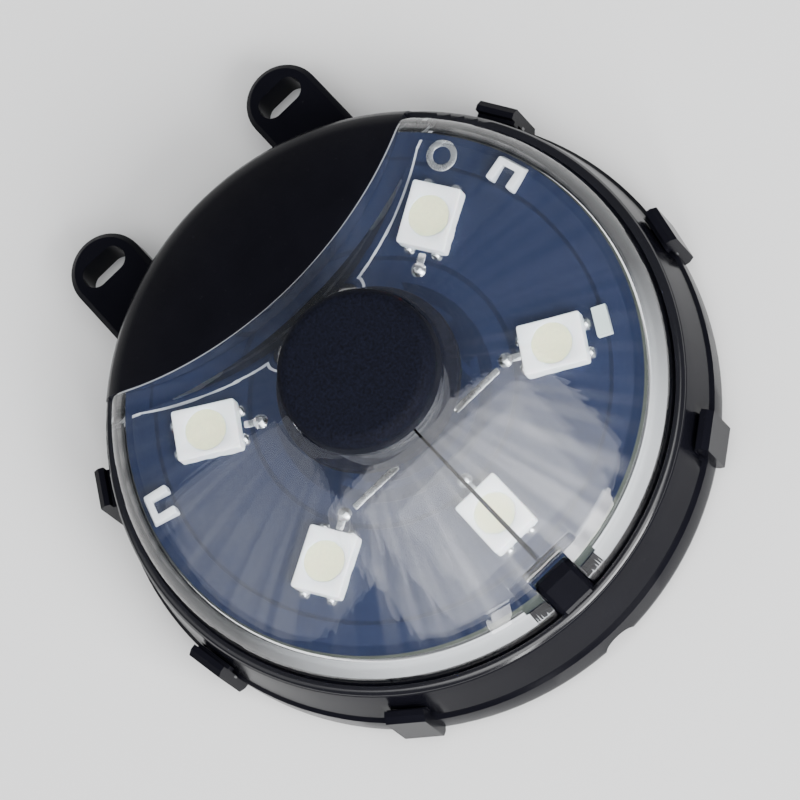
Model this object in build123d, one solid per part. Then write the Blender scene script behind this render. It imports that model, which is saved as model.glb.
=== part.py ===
from build123d import *
import os
from math import sqrt

# Spoke wheel light with a clear lens, in millimetres.
# The origin is on the spoke's axis, at the middle of the round housing.
# +X runs along the spoke to the rim (the head with its two ears), +Z out of the lens.
# Two units come apart along Z: the rear unit (cover, gasket, cell) stays on the spoke, and the
# front unit (case, lens, circuit board and what is soldered to it) lifts off.

# Spoke and the groove that it snaps into
spoke_r = 1.0
spoke_depth = 1.2
mouth_width = 1.6
mouth_lead_in = 2.7
jaw_wall = 0.8
jaw_length = 4.0
jaw_spacing = 9.5
relief_width = 0.8
relief_floor = 1.1
relief_end_wall = 4.1

# Rear cover
cover_r = 17.1
cover_floor = 1.2
cover_height = 3.6
cover_rear_round = 1.7
cover_rim_edge = 0.4
rim_width = 2.2
lip_wall = 0.9
lip_height = 1.6
spine_wall = 0.8
seat_over_spoke = 1.3
support_rib_width = 0.9
support_rib_x = 5.4
pocket_wall = 1.0
pocket_height = 2.2
pocket_gap_width = 5.0

# Ears for a cable tie, and the flat between them
ear_y = 6.8
ear_reach = 5.2
ear_width = 4.4
ear_thickness = 2.2
ear_drop = 0.1
ear_edge = 0.3
tie_slot_length = 2.8
tie_slot_width = 1.5
tie_slot_from_tip = 1.95
head_flat_cut = 1.1

# Snap arms round the seam
arm_angles = (60, 100, 140, -60, -100, -140)
arm_width = 2.2
arm_proud = 0.55
arm_gap = 0.1
arm_drop = 2.1
arm_rise = 2.2
arm_bevel = 0.33
arm_ridge = 0.22
arm_ridge_height = 0.7
arm_ridge_rise = 0.9
arm_groove_clearance = 0.2

# Gasket in the seam
lip_clearance = 0.1
gasket_width = 0.6
gasket_thickness = 0.4
seat_clearance = 0.02
seam_gap = 0.05

# Front case
case_step = 0.2
case_draft = 0.5
bezel_width = 0.6
bezel_round = 0.4
rebate_depth = 0.5
ledge_thickness = 0.8
land_height = 0.8
land_setback = 0.15
land_width = 1.15

# Head of the front case, which bites into the lens, and the key block at the tail
bite_r = 16.3
bite_to_button = 0.15
head_drop = 0.3
head_shell = 1.3
head_wall = 1.2
head_shoulder = 3.0
tail_key_width = 2.3
tail_key_rise = 1.8
tail_key_slope = 1.1
tail_key_tongue = 1.0
tail_key_edge = 0.25

# Lens: its top and the dome's edge, before that is rounded, stand this high over the bezel
lens_rise = 6.3
lens_edge_rise = 1.8
lens_wall = 1.3
lens_shoulder = 2.9
lens_clearance = 0.1
notch_depth = 1.6
notch_wall = 1.0
foot_angles = (73, -73)
foot_width = 1.7
foot_rib = 0.45
foot_reach = 1.5
foot_height = 1.5

# Circuit board
board_clearance = 0.2
board_thickness = 1.0
board_gap = 0.1

# Light emitting diodes
led_angles = (58, 121, 180, -121, -58)
led_setback = 4.6
led_length = 3.5
led_width = 2.8
led_height = 0.8
led_window_r = 1.1
led_window_depth = 0.3

# Small parts on the board: length, width and height. All but the first resistor lie under the
# head, at a distance behind its wall, a place across and a turn.
resistor_size = (1.6, 0.8, 0.45)
resistor_setback = 1.8
resistor_angle = -118
resistor_places = ((1.5, -2.6, 78), (1.75, -4.6, 66))
capacitor_size = (1.6, 0.8, 0.8)
capacitor_place = (1.4, 3.4, 109)
chip_size = (1.6, 2.9, 0.9)
chip_place = (1.5, 0, 0)
chip_edge = 0.15

# Push switch and button
switch_side = 5.2
switch_height = 1.5
well_spare = 0.15
plate_side = 4.8
plate_thickness = 0.2
terminal_size = (1.0, 0.7, 0.2)
terminal_y = 1.85
plunger_r = 1.3
plunger_height = 1.0
plunger_flange = 0.5
plunger_flange_height = 0.35
plunger_clearance = 0.05
button_travel = 0.4
button_r = 4.45
button_clearance = 0.1
button_proud = 0.9
button_wall = 1.2
button_flange = 0.7
button_flange_height = 0.6
button_round = 0.6
button_post_r = 1.6

# Coin cell of 20 mm by 3.2 mm, and its two contacts
cell_r = 10.0
cell_height = 3.2
cell_round = 0.4
cell_clearance = 0.2
cell_rim = 0.8
cell_step = 0.2
grommet_width = 0.35
cap_depth = 1.5
contact_room = 0.6
contact_thickness = 0.15
contact_gap = 0.02
leaf_width = 3.0
leaf_offset = 6.5
leaf_pad_length = 2.2
leaf_slope_length = 3.6
leaf_touch_length = 2.4
leaf_curl = 0.3
finger_width = 3.0
finger_gap = 0.03
finger_thickness = 0.2
finger_length = 2.9
finger_to_land = 0.57

# Cutters run past what they cut by this much
overcut = 1.0

# Levels that follow from the sizes above
rear_z = -spoke_depth
floor_z = rear_z + cover_floor
seam_z = rear_z + cover_height
ear_top_z = seam_z - ear_drop
lip_top_z = seam_z + lip_height
gasket_top_z = seam_z + gasket_thickness
cell_seat_z = spoke_r + seat_over_spoke
cell_top_z = cell_seat_z + cell_height
case_height = cell_top_z + contact_room - land_height + rebate_depth - seam_z
bezel_z = seam_z + case_height
ledge_z = bezel_z - rebate_depth
web_low_z = ledge_z - ledge_thickness
board_z = ledge_z + land_height
board_top_z = board_z + board_thickness
board_free_z = board_top_z + board_gap
lens_top_z = bezel_z + lens_rise
head_top_z = lens_top_z - head_drop
switch_top_z = board_top_z + switch_height
plate_top_z = switch_top_z + plate_thickness
plunger_low_z = switch_top_z - plunger_flange_height - plunger_clearance
well_floor_z = plunger_low_z - button_travel - well_spare
plunger_top_z = plunger_low_z + plunger_height
button_top_z = lens_top_z + button_proud
pocket_top_z = cell_seat_z + pocket_height

# Radii and places that follow from the sizes above
lip_r = cover_r - rim_width
inside_r = lip_r - lip_wall
gasket_inner_r = lip_r + lip_clearance
gasket_r = gasket_inner_r + gasket_width
case_foot_r = cover_r - case_step
case_top_r = case_foot_r - case_draft
lens_r = case_top_r - bezel_width
lens_dome_rise = lens_rise - lens_edge_rise
lens_dome_r = (lens_r ** 2 + lens_dome_rise ** 2) / (2 * lens_dome_rise)
under_dome_r = lens_dome_r - lens_wall
rebate_r = lens_r + lens_clearance
notch_in_x = lens_r - notch_depth
key_inner_x = notch_in_x + lens_clearance
tongue_x = key_inner_x - tail_key_tongue
board_r = lens_r - lens_wall - board_clearance
land_outer_r = board_r - land_setback
land_inner_r = land_outer_r - land_width
head_flat_x = cover_r - head_flat_cut
ear_tip_x = head_flat_x + ear_reach
flange_r = button_r + button_flange
bite_mid_x = flange_r + bite_to_button + lens_wall
bite_centre_x = bite_mid_x + bite_r
head_room_x = bite_mid_x + lens_clearance + head_wall
spine_half = spoke_r + jaw_wall + relief_width + spine_wall
pocket_r = cell_r + cell_clearance
led_place_r = board_r - led_setback
button_hole_r = button_r + button_clearance
flange_drop = under_dome_r - sqrt(under_dome_r ** 2 - flange_r ** 2)
flange_top_z = lens_top_z - lens_wall - flange_drop - lens_clearance
flange_low_z = flange_top_z - button_flange_height


def turned(points, rounds=()):
    """A solid of revolution about Z from a closed outline of (radius, height) points.
    Each round is (radius, height, fillet radius) at one of those points."""
    outline = make_face(Polyline(*points, close=True))
    for at_r, at_z, radius in rounds:
        corner = outline.vertices().sort_by_distance((at_r, at_z, 0))[0]
        outline = fillet(corner, radius)
    return revolve(Plane.XZ * outline, Axis.Z)


def domed(radius, base_z, top_z, dome_r, shoulder):
    """A round plug with a domed top and a rounded shoulder."""
    half = Pos(radius / 2, (base_z + top_z) / 2) * Rectangle(radius, top_z - base_z)
    outline = half & (Pos(0, top_z - dome_r) * Circle(dome_r))
    edge_z = top_z - dome_r + sqrt(dome_r ** 2 - radius ** 2)
    corner = outline.vertices().sort_by_distance((radius, edge_z, 0))[0]
    outline = fillet(corner, shoulder)
    return revolve(Plane.XZ * outline, Axis.Z)


def block(x_span, y_span, z_span):
    """A box between two limits on each axis."""
    size = [span[1] - span[0] for span in (x_span, y_span, z_span)]
    middle = [(span[0] + span[1]) / 2 for span in (x_span, y_span, z_span)]
    return Pos(*middle) * Box(*size)


def disc(radius, low_z, high_z, x=0, y=0):
    """An upright cylinder between two heights."""
    return Pos(x, y, (low_z + high_z) / 2) * Cylinder(radius, high_z - low_z)


def placed(radius, angle, turn=0, z=0):
    """A place at a radius and an angle from +X, with its own X axis turned from the radial line."""
    return Rot(0, 0, angle) * Pos(radius, 0, z) * Rot(0, 0, turn)


def along_spoke(outline, low_x, high_x):
    """Carry an outline of (across, height) points along the spoke between two places."""
    face = make_face(Polyline(*outline, close=True))
    return extrude(Plane(origin=(low_x, 0, 0), x_dir=(0, 1, 0), z_dir=(1, 0, 0)) * face, high_x - low_x)


def spoke_groove():
    """What the groove takes out of the rear cover: a round seat for the spoke with straight
    sides, narrowed to a snap mouth at each pair of jaws, and a relief slot behind each jaw."""
    reach = 2 * cover_r
    seat = Rot(0, 90, 0) * Cylinder(spoke_r, reach)
    below = rear_z - overcut
    straight = [(-spoke_r, 0), (spoke_r, 0), (spoke_r, below), (-spoke_r, below)]
    half_mouth = mouth_width / 2
    half_lead = mouth_lead_in / 2
    mouth_z = -sqrt(spoke_r ** 2 - half_mouth ** 2)
    narrow = [
        (-half_mouth, 0), (half_mouth, 0), (half_mouth, mouth_z),
        (half_lead, rear_z), (half_lead, below), (-half_lead, below), (-half_lead, rear_z),
        (-half_mouth, mouth_z),
    ]
    groove = seat
    start = -reach / 2
    for middle in (-jaw_spacing, 0, jaw_spacing):
        low = middle - jaw_length / 2
        high = middle + jaw_length / 2
        groove += along_spoke(straight, start, low)
        groove += along_spoke(narrow, low, high)
        start = high
    groove += along_spoke(straight, start, reach / 2)
    inner = spoke_r + jaw_wall
    relief_x = cover_r - relief_end_wall
    for side in (-1, 1):
        edges = sorted((side * inner, side * (inner + relief_width)))
        groove += block((-relief_x, relief_x), edges, (below, cell_seat_z - relief_floor))
    return groove


def ear(side):
    """One slotted ear beside the spoke."""
    half = ear_width / 2
    root_x = sqrt(lip_r ** 2 - (ear_y + half) ** 2)
    shank_length = ear_tip_x - half - root_x
    shank = Pos(root_x + shank_length / 2, 0) * Rectangle(shank_length, ear_width)
    tip = Pos(ear_tip_x - half, 0) * Circle(half)
    slot_x = ear_tip_x - tie_slot_from_tip
    slot = Pos(slot_x, 0) * Rot(0, 0, 90) * SlotOverall(tie_slot_length, tie_slot_width)
    outline = shank + tip - slot
    body = extrude(Pos(0, side * ear_y, ear_top_z - ear_thickness) * outline, ear_thickness)
    rims = body.faces().filter_by(Axis.Z).edges().filter_by(
        lambda edge: edge.center().X > slot_x + tie_slot_width)
    return chamfer(rims, ear_edge)


def snap_arm(angle):
    """One snap arm: a tab outside the seam with a ridge that faces inwards."""
    inner = case_foot_r + arm_gap
    outer = cover_r + arm_proud
    high = seam_z + arm_rise
    half = arm_width / 2
    tab = block((inner, outer), (-half, half), (seam_z - arm_drop, high))
    crest = tab.edges().filter_by(Axis.Y).group_by(Axis.X)[-1]
    tab = chamfer(crest, arm_bevel)
    ridge_z = seam_z + arm_ridge_rise
    ridge = block((inner - arm_ridge, inner), (-half, half), (ridge_z, ridge_z + arm_ridge_height))
    return Rot(0, 0, angle) * (tab + ridge)


def make_rear_cover():
    """Shallow cup with a spine over the groove, a cell pocket, a sealing lip, ears and arms."""
    cup = turned(
        [
            (0, rear_z), (cover_r, rear_z), (cover_r, seam_z - cover_rim_edge),
            (cover_r - cover_rim_edge, seam_z), (lip_r, seam_z),
            (lip_r, lip_top_z), (inside_r, lip_top_z), (inside_r, floor_z), (0, floor_z),
        ],
        [(cover_r, rear_z, cover_rear_round)],
    )
    cup -= block((head_flat_x, 2 * cover_r), (-cover_r, cover_r), (rear_z - overcut, lip_top_z + overcut))
    spine = block((-cover_r, cover_r), (-spine_half, spine_half), (rear_z, cell_seat_z))
    cup += spine & disc(inside_r + lip_wall / 2, rear_z, cell_seat_z)
    root_z = floor_z - cover_floor / 2
    over_z = pocket_top_z + overcut
    pocket = disc(pocket_r + pocket_wall, root_z, pocket_top_z) - disc(pocket_r, rear_z, over_z)
    half_gap = pocket_gap_width / 2
    pocket -= block((-half_gap, half_gap), (-cover_r, cover_r), (cell_seat_z, over_z))
    cup += pocket
    half_rib = support_rib_width / 2
    rib_reach = pocket_r + pocket_wall / 2
    for x in (-support_rib_x, support_rib_x):
        length = sqrt(rib_reach ** 2 - (support_rib_x + half_rib) ** 2)
        cup += block((x - half_rib, x + half_rib), (-length, length), (root_z, cell_seat_z))
    keep_out = disc(inside_r, floor_z, seam_z + overcut)
    for side in (-1, 1):
        cup += ear(side) - keep_out
    for angle in arm_angles:
        cup += snap_arm(angle)
    return cup - spoke_groove()


def make_gasket():
    """Flat sealing ring on the cover's shoulder, outside the lip."""
    ring = disc(gasket_r, seam_z, gasket_top_z)
    return ring - disc(gasket_inner_r, seam_z - overcut, gasket_top_z + overcut)


def bite(radius):
    """The round that the head bites out of the lens, at a given radius."""
    return disc(radius, rear_z, lens_top_z + overcut, x=bite_centre_x)


def make_head():
    """Hollow crescent that fills the lens's bite, with a wall along the bite."""
    outer = domed(case_top_r, seam_z, head_top_z, lens_dome_r, head_shoulder)
    outer &= bite(bite_r - lens_clearance)
    inner = domed(
        case_top_r - head_shell, seam_z - overcut, head_top_z - head_shell,
        lens_dome_r - head_shell, head_shoulder - head_shell,
    )
    inner &= bite(bite_r - lens_clearance - head_wall)
    head = (outer - inner) & disc(cover_r, ledge_z, lens_top_z)
    return head - disc(board_r + board_gap, ledge_z - overcut, board_free_z)


def tail_key():
    """Block at the tail that fills the lens's notch, with a top that slopes up from the bezel
    and a low tongue that keeps the board from turning."""
    outer_x = -case_top_r + bezel_round
    key_top_z = bezel_z + tail_key_rise
    outline = [
        (outer_x, ledge_z), (-tongue_x, ledge_z), (-tongue_x, board_top_z), (-key_inner_x, board_top_z),
        (-key_inner_x, key_top_z), (outer_x + tail_key_slope, key_top_z), (outer_x, bezel_z),
    ]
    half = tail_key_width / 2
    key = extrude(Plane.XZ * make_face(Polyline(*outline, close=True)), half, both=True)
    crests = key.edges().filter_by(
        lambda edge: edge.center().Z > bezel_z + tail_key_rise / 3 and abs(edge.center().Y) > half / 2)
    return chamfer(crests, tail_key_edge)


def make_front_case():
    """Bezel ring with the lens rebate, the board's land, the head and the tail key."""
    skirt_r = gasket_r + seam_gap
    recess_r = gasket_inner_r
    ring = turned(
        [
            (skirt_r, seam_z + seam_gap), (case_foot_r, seam_z + seam_gap), (case_top_r, bezel_z),
            (rebate_r, bezel_z), (rebate_r, ledge_z), (land_outer_r, ledge_z),
            (land_outer_r, board_z), (land_inner_r, board_z), (land_inner_r, web_low_z),
            (recess_r, web_low_z), (recess_r, gasket_top_z + seat_clearance),
            (skirt_r, gasket_top_z + seat_clearance),
        ],
        [(case_top_r, bezel_z, bezel_round)],
    )
    case = ring + make_head() + tail_key()
    groove_r = case_foot_r - arm_ridge
    groove_half = arm_width / 2 + arm_groove_clearance
    groove_top = seam_z + arm_ridge_rise + arm_ridge_height + arm_groove_clearance
    for angle in arm_angles:
        groove = block((groove_r, cover_r), (-groove_half, groove_half), (seam_z - overcut, groove_top))
        case -= Rot(0, 0, angle) * groove
    return case - block((head_flat_x, 2 * cover_r), (-cover_r, cover_r), (rear_z, lens_top_z))


def hold_down_foot(angle):
    """U-shaped foot under the lens that keeps the board's edge down."""
    outer_x = lens_r - lens_wall / 2
    inner_x = outer_x - foot_reach
    half = foot_width / 2
    span_z = (board_top_z + seat_clearance, board_top_z + foot_height)
    foot = block((inner_x, outer_x), (-half, half), span_z)
    slot_half = half - foot_rib
    foot -= block((inner_x - overcut, outer_x - foot_rib), (-slot_half, slot_half), span_z)
    return Rot(0, 0, angle) * foot


def make_lens():
    """Clear dome with a round bite for the head, a notch for the tail key and a button hole."""
    outer = domed(lens_r, rear_z, lens_top_z, lens_dome_r, lens_shoulder) - bite(bite_r)
    inner = domed(
        lens_r - lens_wall, rear_z - overcut, lens_top_z - lens_wall,
        under_dome_r, lens_shoulder - lens_wall,
    )
    inner -= bite(bite_r + lens_wall)
    half = tail_key_width / 2 + lens_clearance
    outer -= block((-cover_r, -notch_in_x), (-half, half), (rear_z, lens_top_z))
    wall_half = half + notch_wall
    inner -= block((-cover_r, -notch_in_x + notch_wall), (-wall_half, wall_half), (rear_z, lens_top_z))
    lens = (outer - inner) & disc(cover_r, ledge_z, lens_top_z + overcut)
    lens -= disc(board_r + board_gap, ledge_z - overcut, board_free_z)
    for angle in foot_angles:
        lens += hold_down_foot(angle) & outer
    return lens - disc(button_hole_r, ledge_z, lens_top_z + overcut)


def make_board():
    """Round board with a notch for the tail key's tongue."""
    board = disc(board_r, board_z, board_top_z)
    half = tail_key_width / 2 + board_gap
    return board - block((-cover_r, -tongue_x + board_gap), (-half, half), (rear_z, lens_top_z))


def make_led_body(angle):
    """White housing of one diode, with a round well for its resin."""
    body = block((-led_length / 2, led_length / 2), (-led_width / 2, led_width / 2), (0, led_height))
    body -= disc(led_window_r, led_height - led_window_depth, led_height + overcut)
    return placed(led_place_r, angle, z=board_top_z) * body


def make_led_window(angle):
    """Resin disc in one diode's well."""
    window = disc(led_window_r, led_height - led_window_depth, led_height)
    return placed(led_place_r, angle, z=board_top_z) * window


def chip_part(size):
    """A small rectangular part that stands on the origin."""
    length, width, height = size
    return block((-length / 2, length / 2), (-width / 2, width / 2), (0, height))


def under_head(place):
    """A place on the board under the head, as distance behind the head's wall, y and turn."""
    behind, y, turn = place
    return Pos(head_room_x + behind, y, board_top_z) * Rot(0, 0, turn)


def make_edge_resistor():
    """Resistor at the board's edge, outside a diode."""
    return placed(board_r - resistor_setback, resistor_angle, 90, board_top_z) * chip_part(resistor_size)


def make_controller():
    """Controller chip under the head, with a bevelled package."""
    body = chip_part(chip_size)
    body = chamfer(body.edges().group_by(Axis.Z)[-1], chip_edge)
    return under_head(chip_place) * body


def make_switch_body():
    """Square housing of the push switch, with a well for its plunger."""
    half = switch_side / 2
    body = block((-half, half), (-half, half), (board_top_z, switch_top_z))
    well_r = plunger_r + plunger_flange + 2 * plunger_clearance
    return body - disc(well_r, well_floor_z, switch_top_z + overcut)


def make_switch_plate():
    """Metal plate that keeps the plunger in."""
    half = plate_side / 2
    plate = block((-half, half), (-half, half), (switch_top_z, plate_top_z))
    return plate - disc(plunger_r + plunger_clearance, switch_top_z - overcut, plate_top_z + overcut)


def make_switch_terminals():
    """Four soldered terminals, as separate solids."""
    length, width, height = terminal_size
    inner = switch_side / 2
    pads = []
    for side_x in (-1, 1):
        for side_y in (-1, 1):
            edges = sorted((side_x * inner, side_x * (inner + length)))
            y = side_y * terminal_y
            pads.append(block(edges, (y - width / 2, y + width / 2), (board_top_z, board_top_z + height)))
    return Compound(children=pads)


def make_plunger():
    """Stepped plunger of the push switch."""
    stem = disc(plunger_r, plunger_low_z, plunger_top_z)
    foot = disc(plunger_r + plunger_flange, plunger_low_z, plunger_low_z + plunger_flange_height)
    return stem + foot


def make_button_cap():
    """Round button with a flange under the lens and a post on the plunger."""
    cavity_r = button_r - button_wall
    cavity_top = button_top_z - button_wall
    return turned(
        [
            (0, plunger_top_z), (button_post_r, plunger_top_z), (button_post_r, cavity_top),
            (cavity_r, cavity_top), (cavity_r, flange_low_z), (flange_r, flange_low_z),
            (flange_r, flange_top_z), (button_r, flange_top_z), (button_r, button_top_z), (0, button_top_z),
        ],
        [(button_r, button_top_z, button_round)],
    )


def make_cell_can():
    """Steel can of the coin cell, open towards the lens."""
    can = disc(cell_r, cell_seat_z, cell_top_z - cell_step)
    rims = can.edges().filter_by(GeomType.CIRCLE)
    can = chamfer(rims, cell_round)
    well_r = cell_r - cell_rim
    return can - disc(well_r, cell_top_z - cap_depth, cell_top_z + overcut)


def make_cell_grommet():
    """Insulating ring between the can and the cap."""
    outer = cell_r - cell_rim
    low = cell_top_z - cap_depth
    high = cell_top_z - cell_step / 2
    return disc(outer, low, high) - disc(outer - grommet_width, low - overcut, high + overcut)


def make_cell_cap():
    """Negative cap of the coin cell."""
    radius = cell_r - cell_rim - grommet_width
    cap = disc(radius, cell_top_z - cap_depth, cell_top_z)
    rim = cap.edges().group_by(Axis.Z)[-1]
    return chamfer(rim, cell_step / 2)


def make_negative_contact():
    """Leaf spring under the board that bears on the middle of the cell."""
    low = cell_top_z + contact_gap
    high = board_z - contact_thickness
    x0 = -leaf_offset
    x1 = x0 + leaf_pad_length
    x2 = x1 + leaf_slope_length
    x3 = x2 + leaf_touch_length
    t = contact_thickness
    outline = [
        (x0, high), (x1, high), (x2, low), (x3, low), (x3 + leaf_curl, low + leaf_curl / 2),
        (x3 + leaf_curl, low + leaf_curl / 2 + t), (x3, low + t), (x2, low + t),
        (x1, board_z), (x0, board_z),
    ]
    face = make_face(Polyline(*outline, close=True))
    return extrude(Plane.XZ * face, leaf_width / 2, both=True)


def make_positive_contact():
    """Bent finger under the board that bears on the side of the cell."""
    inner = cell_r + finger_gap
    outer = inner + finger_thickness
    half = finger_width / 2
    finger = block((-half, half), (inner, outer), (board_z - finger_length, board_z))
    pad_end = land_inner_r - finger_to_land
    pad = block((-half, half), (inner, pad_end), (board_z - finger_thickness, board_z))
    return finger + pad


parts = {
    "rear_cover": make_rear_cover(),
    "rim_gasket": make_gasket(),
    "cell_can": make_cell_can(),
    "cell_grommet": make_cell_grommet(),
    "cell_cap": make_cell_cap(),
    "front_case": make_front_case(),
    "lens": make_lens(),
    "circuit_board": make_board(),
    "controller_chip": make_controller(),
    "capacitor": under_head(capacitor_place) * chip_part(capacitor_size),
    "switch_body": make_switch_body(),
    "switch_plate": make_switch_plate(),
    "switch_terminals": make_switch_terminals(),
    "switch_plunger": make_plunger(),
    "button_cap": make_button_cap(),
    "negative_contact": make_negative_contact(),
    "positive_contact": make_positive_contact(),
    "resistor_1": make_edge_resistor(),
}
for number, angle in enumerate(led_angles, start=1):
    parts[f"led_body_{number}"] = make_led_body(angle)
    parts[f"led_window_{number}"] = make_led_window(angle)
for number, place in enumerate(resistor_places, start=2):
    parts[f"resistor_{number}"] = under_head(place) * chip_part(resistor_size)

for name, shape in parts.items():
    export_step(shape, f"parts/{name}.step")
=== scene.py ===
import math

import bmesh
import bpy
import numpy as np
from bpy.props import FloatProperty, FloatVectorProperty, PointerProperty
from mathutils import Matrix, Vector


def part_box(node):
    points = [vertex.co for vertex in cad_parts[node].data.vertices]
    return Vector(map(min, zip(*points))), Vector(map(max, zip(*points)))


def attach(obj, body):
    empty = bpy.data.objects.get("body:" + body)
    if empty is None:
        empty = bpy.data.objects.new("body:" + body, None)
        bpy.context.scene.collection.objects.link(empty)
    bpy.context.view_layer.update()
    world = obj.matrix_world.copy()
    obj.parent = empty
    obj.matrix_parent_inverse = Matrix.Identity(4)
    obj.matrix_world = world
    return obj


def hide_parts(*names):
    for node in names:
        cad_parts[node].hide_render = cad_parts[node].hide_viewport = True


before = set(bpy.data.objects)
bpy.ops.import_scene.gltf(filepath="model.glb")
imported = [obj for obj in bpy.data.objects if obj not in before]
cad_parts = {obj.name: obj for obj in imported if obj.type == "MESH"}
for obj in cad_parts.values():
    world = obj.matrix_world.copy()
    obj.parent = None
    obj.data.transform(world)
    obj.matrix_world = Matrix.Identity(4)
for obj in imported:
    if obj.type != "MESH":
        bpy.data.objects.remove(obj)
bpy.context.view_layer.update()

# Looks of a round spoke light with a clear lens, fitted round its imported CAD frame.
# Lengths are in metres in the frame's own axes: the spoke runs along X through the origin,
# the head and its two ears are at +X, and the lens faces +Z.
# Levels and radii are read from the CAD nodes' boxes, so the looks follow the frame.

bl_info = {
    "name": "Spoke wheel light",
    "version": (1, 0, 0),
    "blender": (4, 5, 0),
    "location": "View3D > Sidebar > Wheel light",
    "description": "Builds the finished pieces of a spoke wheel light round its CAD frame",
    "category": "Object",
}

MM = 0.001

LENS_LOW, LENS_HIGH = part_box("lens")
BOARD_LOW, BOARD_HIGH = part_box("circuit_board")
CAP_LOW, CAP_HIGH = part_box("button_cap")
LED_LOW, LED_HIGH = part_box("led_body_3")

REAR_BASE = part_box("rear_cover")[0].z
CASE_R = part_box("front_case")[1].y
LENS_R = LENS_HIGH.y
LENS_BASE = LENS_LOW.z
BOARD_R = BOARD_HIGH.y
BOARD_BASE = BOARD_LOW.z
BOARD_TOP = BOARD_HIGH.z
RESISTOR_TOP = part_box("resistor_1")[1].z
LED_R = -(LED_LOW.x + LED_HIGH.x) / 2
LED_HEIGHT = LED_HIGH.z - BOARD_TOP

# Thickness of the tin on bare copper
TIN = 0.05 * MM

# Corners closer than this are one, and edges sharper than this many degrees are rounded
WELD_DISTANCE = 0.0005 * MM
HARD_EDGE = 32

# Degrees from +X of the five diodes and of the lens's two feet
LED_ANGLES = (58, 121, 180, -121, -58)
FOOT_ANGLES = (73, -73)


def length(name, description, millimetres):
    """A length property, in metres, from a default in millimetres."""
    return FloatProperty(
        name=name, description=description, default=millimetres * MM, min=0.0,
        subtype="DISTANCE", unit="LENGTH", precision=5)


def colour(name, description, value):
    """A colour property from red, green and blue."""
    return FloatVectorProperty(
        name=name, description=description, default=value, size=3, min=0.0, max=1.0, subtype="COLOR")


def share(name, description, value):
    """A property from 0 to 1."""
    return FloatProperty(
        name=name, description=description, default=value, min=0.0, max=1.0, subtype="FACTOR")


class LensSettings(bpy.types.PropertyGroup):
    """Sizes and clearness of the lens."""

    dome_top: length("Dome top", "Height of the outer dome's top over the spoke's axis", 12.1)
    dome_edge: length("Dome edge", "Height of the outer dome's edge, before it is rounded", 7.6)
    shoulder: length("Shoulder", "Radius of the round between the dome and the outer wall", 2.9)
    wall: length("Wall", "Thickness of the lens", 1.3)
    bite_r: length("Bite radius", "Radius of the round that the head takes out of the lens", 16.3)
    bite_x: length("Bite place", "Distance from the middle to the bite, along the spoke", 6.6)
    notch_half: length("Notch half width", "Half the width of the notch for the tail key", 1.25)
    notch_depth: length("Notch depth", "Depth of the notch from the lens's outer wall", 1.6)
    notch_wall: length("Notch wall", "Thickness of the lens round the notch", 1.0)
    hole_r: length("Hole radius", "Radius of the button's hole", 4.55)
    edge: length("Edge round", "Round on the lens's edges", 0.16)
    tint: colour("Tint", "Colour that the clear plastic gives to light", (0.955, 0.975, 1.0))
    smudge: share("Smudges", "Roughness of handled patches", 0.055)
    groove: length("Groove", "Depth of the fine line under the dome, from the button to the notch", 0.14)
    ripple: length("Ripple", "Height of the flow ripples that fan out from the button", 0.022)
    # Strength of the frosted white, which also scales the painted highlight on the lit side and the
    # painted glint lines along the bite
    frost_glint_strength: share("Frost", "Milkiness of the lens's unpolished inner walls", 0.75)


class ShellSettings(bpy.types.PropertyGroup):
    """Edges and colour of the black mouldings."""

    edge: length("Edge round", "Round on the mouldings' edges", 0.10)
    black: colour("Black", "Colour of the black plastic", (0.0045, 0.0045, 0.0070))
    head_roughness: share("Satin", "Roughness of the head and the rear cover", 0.40)
    rim_roughness: share("Gloss", "Roughness of the rim", 0.22)
    bezel: length("Bezel", "Height of the rim's top edge over the spoke's axis", 5.8)
    seam: length("Seam", "Height of the seam between the case and the rear cover", 2.4)
    ring_r: length("Ring radius", "Radius inside which the rim and the seam glint", 17.2)


class ButtonSettings(bpy.types.PropertyGroup):
    """Shape and colour of the rubber button."""

    round: length("Edge round", "Round on the button's rim", 0.75)
    crown: length("Crown", "Rise of the button's middle over its rim", 0.10)
    rubber: colour("Rubber", "Colour of the button", (0.0034, 0.0040, 0.0090))


class BoardSettings(bpy.types.PropertyGroup):
    """Colours of the circuit board and of what is soldered to it."""

    mask: colour("Solder mask", "Colour of the board's dark blue coat", (0.0075, 0.0125, 0.0350))
    copper: colour("Covered copper", "Colour of copper under the coat", (0.0112, 0.0180, 0.0470))
    laminate: colour("Laminate", "Colour of the board's bare edge", (0.070, 0.078, 0.065))
    housing: colour("Diode housing", "Colour of the diodes' housings", (0.88, 0.88, 0.86))
    resin: colour("Diode resin", "Colour of the diodes' resin", (0.87, 0.82, 0.52))


class StageSettings(bpy.types.PropertyGroup):
    """Floor and light."""

    floor: colour("Floor", "Colour of the floor", (0.89, 0.89, 0.89))
    sky: share("Sky", "Strength of the light from all sides", 0.22)


class WheelLightSettings(bpy.types.PropertyGroup):
    """All settings of the wheel light."""

    lens: PointerProperty(type=LensSettings)
    shell: PointerProperty(type=ShellSettings)
    button: PointerProperty(type=ButtonSettings)
    board: PointerProperty(type=BoardSettings)
    stage: PointerProperty(type=StageSettings)


def settings():
    """The settings of this scene's wheel light."""
    return bpy.context.scene.wheel_light


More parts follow.
